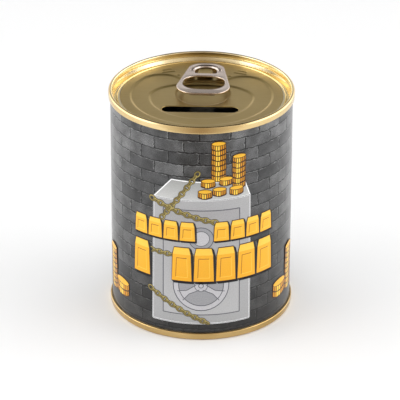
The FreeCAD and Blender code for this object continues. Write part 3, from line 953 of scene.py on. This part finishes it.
def make_rivet():
    """Staked head of the integral rivet: a flat button with a soft rim and a shallow dimple."""
    base = PANEL_TOP + TAB_CLEARANCE + TONGUE_THICKNESS
    outline = [(0, base + 0.48), (1.0, base + 0.49)]
    outline += [(2.6 + 0.50 * math.sin(a), base + 0.25 + 0.33 * math.cos(a))
                for a in np.linspace(-0.6, math.pi / 2, 12)]
    outline += [(3.08, base), (1.9, base), (1.9, PANEL_TOP - 0.1), (0, PANEL_TOP - 0.1)]
    rivet = lathe("rivet_head", outline, *PANEL_PIECE, 96)
    centre = on_lid([(TAB_SIDE, RIVET_Y, 0)])[0]
    rivet.data.transform(Matrix.Translation(Vector(centre) * MM))


# ---- tab ----

TAB_PIECE = ([TAB_STEEL], "tab", "tab_steel")


def curve_plate(name, outlines, thickness, rounding):
    """Flat plate with holes and rounded edges, as a mesh about z = 0 in millimetres."""
    curve = bpy.data.curves.new(name, "CURVE")
    curve.dimensions = "2D"
    curve.fill_mode = "BOTH"
    for outline in outlines:
        spline = curve.splines.new("POLY")
        spline.points.add(len(outline) - 1)
        for point, (x, y) in zip(spline.points, outline):
            point.co = (x, y, 0, 1)
        spline.use_cyclic_u = True
    curve.extrude = thickness / 2 - rounding
    curve.bevel_depth = rounding
    curve.bevel_resolution = 5
    curve.offset = -rounding
    holder = new_object(name, curve)
    mesh = evaluated_mesh(holder)
    bpy.data.objects.remove(holder)
    return mesh


def make_tube(name, path, rings, closed, flatten=1.0):
    """Tube of tab steel along points (x, y, z, radius) of the flat tab, flattened by a factor."""
    count = len(path)
    points = []
    for index, (x, y, z, radius) in enumerate(path):
        ahead = path[(index + 1) % count] if closed or index < count - 1 else path[index]
        behind = path[index - 1] if closed or index > 0 else path[index]
        along = (Vector(ahead[:3]) - Vector(behind[:3])).normalized()
        side = along.cross(Vector((0, 0, 1))).normalized()
        up = side.cross(along)
        for a in (TAU * k / rings for k in range(rings)):
            offset = side * (radius * math.cos(a)) + up * (radius * flatten * math.sin(a))
            points.append((x + offset.x, y + offset.y, z + offset.z))
    faces = grid_faces(count, rings)
    if closed:
        faces += row_faces((count - 1) * rings, 0, rings)
    else:
        faces += [tuple(range(rings)), tuple(range(count * rings - 1, (count - 1) * rings - 1, -1))]
    make_object(name, on_tab(points), faces, *TAB_PIECE, 60)


def make_tab():
    """Ring and nose of the tab: a plate with two holes, curled edges and a hem round the finger hole."""
    outlines = [rounded_outline(corners, 0.3) for corners in (TAB_OUTLINE, FINGER_HOLE, NOSE_HOLE)]
    plate = curve_plate("tab", outlines, 0.78, 0.36)
    vertices = on_tab([(v.co.x, v.co.y, v.co.z + 0.20) for v in plate.vertices])
    mesh = mesh_in_mm("tab_plate", vertices, [tuple(p.vertices) for p in plate.polygons])
    weld = bmesh.new()
    weld.from_mesh(mesh)
    bmesh.ops.remove_doubles(weld, verts=weld.verts, dist=1e-7)
    weld.to_mesh(mesh)
    weld.free()
    ring = finish_object("pull_ring", mesh, *TAB_PIECE)
    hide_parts("pull_tab")
    for name, loop, radius, height in (("tab_edge_curl", offset_loop(TAB_OUTLINE, -0.36), 0.34, 0.34),
                                       ("finger_hole_hem", offset_loop(FINGER_HOLE, 0.34), 0.32, 0.33)):
        make_tube(name, [(x, y, height, radius) for x, y in loop], 14, True)
    nose = [(x, y) for x, y in offset_loop(NOSE_HOLE, 1.25) if y > 18.2]
    nose.sort(key=lambda p: math.atan2(p[0], p[1] - 20.0))
    places = [index / (len(nose) - 1) for index in range(len(nose))]
    curl = [(x, y, 0.24, 1.15 * min(1.0, 5.0 * min(t, 1 - t) + 0.15)) for (x, y), t in zip(nose, places)]
    make_tube("nose_curl", curl, 20, False, 0.80)
    front = sorted((x, y) for x, y in offset_loop(TAB_OUTLINE, -0.85) if y < -2.0 and abs(x) < 5.2)
    make_tube("finger_edge_curl", [(x, y, -0.42, 0.36) for x, y in front], 18, False, 0.78)


def make_tongue():
    """Strip that runs from the web of the tab down to the rivet, bending smoothly down near its root."""
    flat = PANEL_TOP + TAB_CLEARANCE
    root_y, low_y, tip_y = 16.4, 19.0, RIVET_Y + TONGUE_HALF_WIDTH
    root_z = TAB_NOSE[1] + (TAB_NOSE[0] - root_y) * math.sin(TAB_TILT) - TONGUE_THICKNESS / 2
    rows = list(np.linspace(root_y, low_y, 26)) + list(np.linspace(low_y, tip_y, 24))[1:]
    columns = 12
    lower = []
    for y in rows:
        t = min(1.0, (y - root_y) / (low_y - root_y))
        z = root_z + (flat - root_z) * t * t * (3 - 2 * t)
        beyond = max(0.0, y - RIVET_Y)
        half = math.sqrt(max(0.01, TONGUE_HALF_WIDTH * TONGUE_HALF_WIDTH - beyond * beyond))
        lower += [(TAB_SIDE + half * (2 * k / columns - 1), y, z) for k in range(columns + 1)]
    upper = [(x, y, z + TONGUE_THICKNESS) for x, y, z in lower]
    span, count = columns + 1, len(rows)
    faces = grid_faces(count, span, 0, False) + grid_faces(count, span, len(upper), False)
    edge = list(range(span)) + [row * span + columns for row in range(1, count)]
    edge += list(range(count * span - 2, (count - 1) * span - 1, -1))
    edge += [row * span for row in range(count - 2, 0, -1)]
    faces += [(a, b, b + len(upper), a + len(upper)) for a, b in zip(edge, edge[1:] + edge[:1])]
    tongue = make_object("rivet_tongue", on_lid(upper + lower), faces, [TAB_STEEL], None, "tab_steel")
    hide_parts("tab_tongue")
    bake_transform(tongue)


# ---- CAD pieces that stay ----

def paint_frame_pieces():
    """Give the CAD pieces that stay their own materials."""
    finishes = {"top_seam_compound": COMPOUND, "bottom_seam_compound": COMPOUND,
                "side_seam_lacquer_inside": LACQUER, "side_seam_lacquer_outside": LACQUER,
                "label_lap_glue": GLUE, "label_pickup_glue": GLUE}
    for node, material in finishes.items():
        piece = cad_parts[node]
        piece.data.materials.clear()
        piece.data.materials.append(material)


# ---- stage, light and camera ----

def make_camera():
    """Long lens at the height and distance of a product photograph."""
    elevation, roll, distance = math.radians(26.74), math.radians(0.16), 1.1442
    aim = Vector((-0.51, 0, 44.62)) * MM
    back = Vector((0, -math.cos(elevation), math.sin(elevation)))
    right, up = Vector((1, 0, 0)), Vector((0, math.sin(elevation), math.cos(elevation)))
    side = right * math.cos(roll) + up * math.sin(roll)
    top = up * math.cos(roll) - right * math.sin(roll)
    data = bpy.data.cameras.new("camera")
    data.lens, data.sensor_width = 251.7, 36.0
    data.clip_start, data.clip_end = 0.01, 20.0
    camera = new_object("camera", data)
    camera.matrix_world = Matrix((side, top, back)).transposed().to_4x4()
    camera.location = aim + back * distance
    bpy.context.scene.camera = camera


def stage_card(name, corners, material):
    """Flat four-cornered piece of the stage, in metres."""
    mesh = bpy.data.meshes.new(name)
    mesh.from_pydata(corners, [], [(0, 1, 2, 3)])
    mesh.materials.append(material)
    return new_object(name, mesh)


def make_floor():
    """Plain pale floor."""
    half = 3.0
    corners = [(-half, -half, 0), (half, -half, 0), (half, half, 0), (-half, half, 0)]
    material = new_material("pale_floor", (0.95, 0.95, 0.95), roughness=0.6, specular=0.2)
    floor = stage_card("floor", corners, material)


def make_card():
    """Brown card in front of the can, paler to its sides, that only the metal's reflections see."""
    y, half, low, top = -0.17, 0.22, 0.001, 0.60
    material = new_material("brown_card", (0.4, 0.35, 0.28), roughness=0.9, specular=0.1)
    n = Nodes(material)
    x, _, _ = n.split(n.place())
    side = n.span(n.maths("ABSOLUTE", x), 0.01, 0.20, 0.0, 1.0)
    n.shade("Base Color", n.mix("MIX", side, (0.40, 0.34, 0.27), (0.95, 0.92, 0.86)))
    corners = [(-half, y, low), (half, y, low), (half, y, top), (-half, y, top)]
    card = stage_card("brown_card", corners, material)
    card.visible_camera = False
    card.visible_diffuse = False
    card.visible_shadow = False


def area_light(name, place, size, power, mirrored):
    """Soft box aimed at the can's middle, which the metal mirrors or not."""
    data = bpy.data.lights.new(name, "AREA")
    data.shape = "RECTANGLE"
    data.size, data.size_y = size
    data.energy = power
    light = new_object(name, data)
    light.location = place
    aim = Vector((0, 0, 0.05))
    light.rotation_euler = (aim - Vector(place)).to_track_quat("-Z", "Y").to_euler()
    light.visible_glossy = mirrored


def make_light():
    """White tent: glowing side walls, a dimmer back wall, a dark front and top, and soft fill light."""
    world = bpy.data.worlds.new("studio")
    bpy.context.scene.world = world
    world.use_nodes = True
    n = Nodes(world)
    side_glow, back_glow, back_low_glow = 2.0, 0.44, 1.1
    x, y, z = n.split(n.place("Generated"))
    side = n.span(n.maths("ABSOLUTE", x), 0.42, 0.80, 0.0, side_glow)
    low = n.span(z, 0.35, 0.75, 1.0, 0.05)
    behind = n.span(y, 0.0, 0.5, 0.10, 1.0)
    level = n.span(z, 0.18, 0.42, back_low_glow, back_glow)
    high = n.span(z, 0.50, 0.85, 1.0, 0.35)
    back = n.maths("MULTIPLY", n.maths("MULTIPLY", behind, level), high)
    background = world.node_tree.nodes["Background"]
    n.feed(background, "Color", (1.0, 1.0, 1.0, 1))
    n.feed(background, "Strength", n.maths("ADD", n.maths("MULTIPLY", side, low), back))
    area_light("left_softbox", (-0.70, -0.15, 0.40), (0.5, 0.9), 1.6, True)
    area_light("right_softbox", (0.70, -0.10, 0.40), (0.5, 0.9), 1.6, True)
    area_light("top_fill", (0, 0, 1.1), (1.6, 1.6), 8.0, False)
    area_light("front_fill", (-0.10, -1.2, 0.8), (0.8, 0.5), 4.0, False)


make_lid_ring()
make_bottom()
make_can_wall()
make_label()
print_safe()
print_coins()
print_chains()
print_bars()
make_panel()
make_slot_lip()
make_marks()
make_rivet()
make_tab()
make_tongue()
paint_frame_pieces()
make_floor()
make_card()
make_light()
make_camera()
bpy.context.scene.view_settings.view_transform = "Standard"
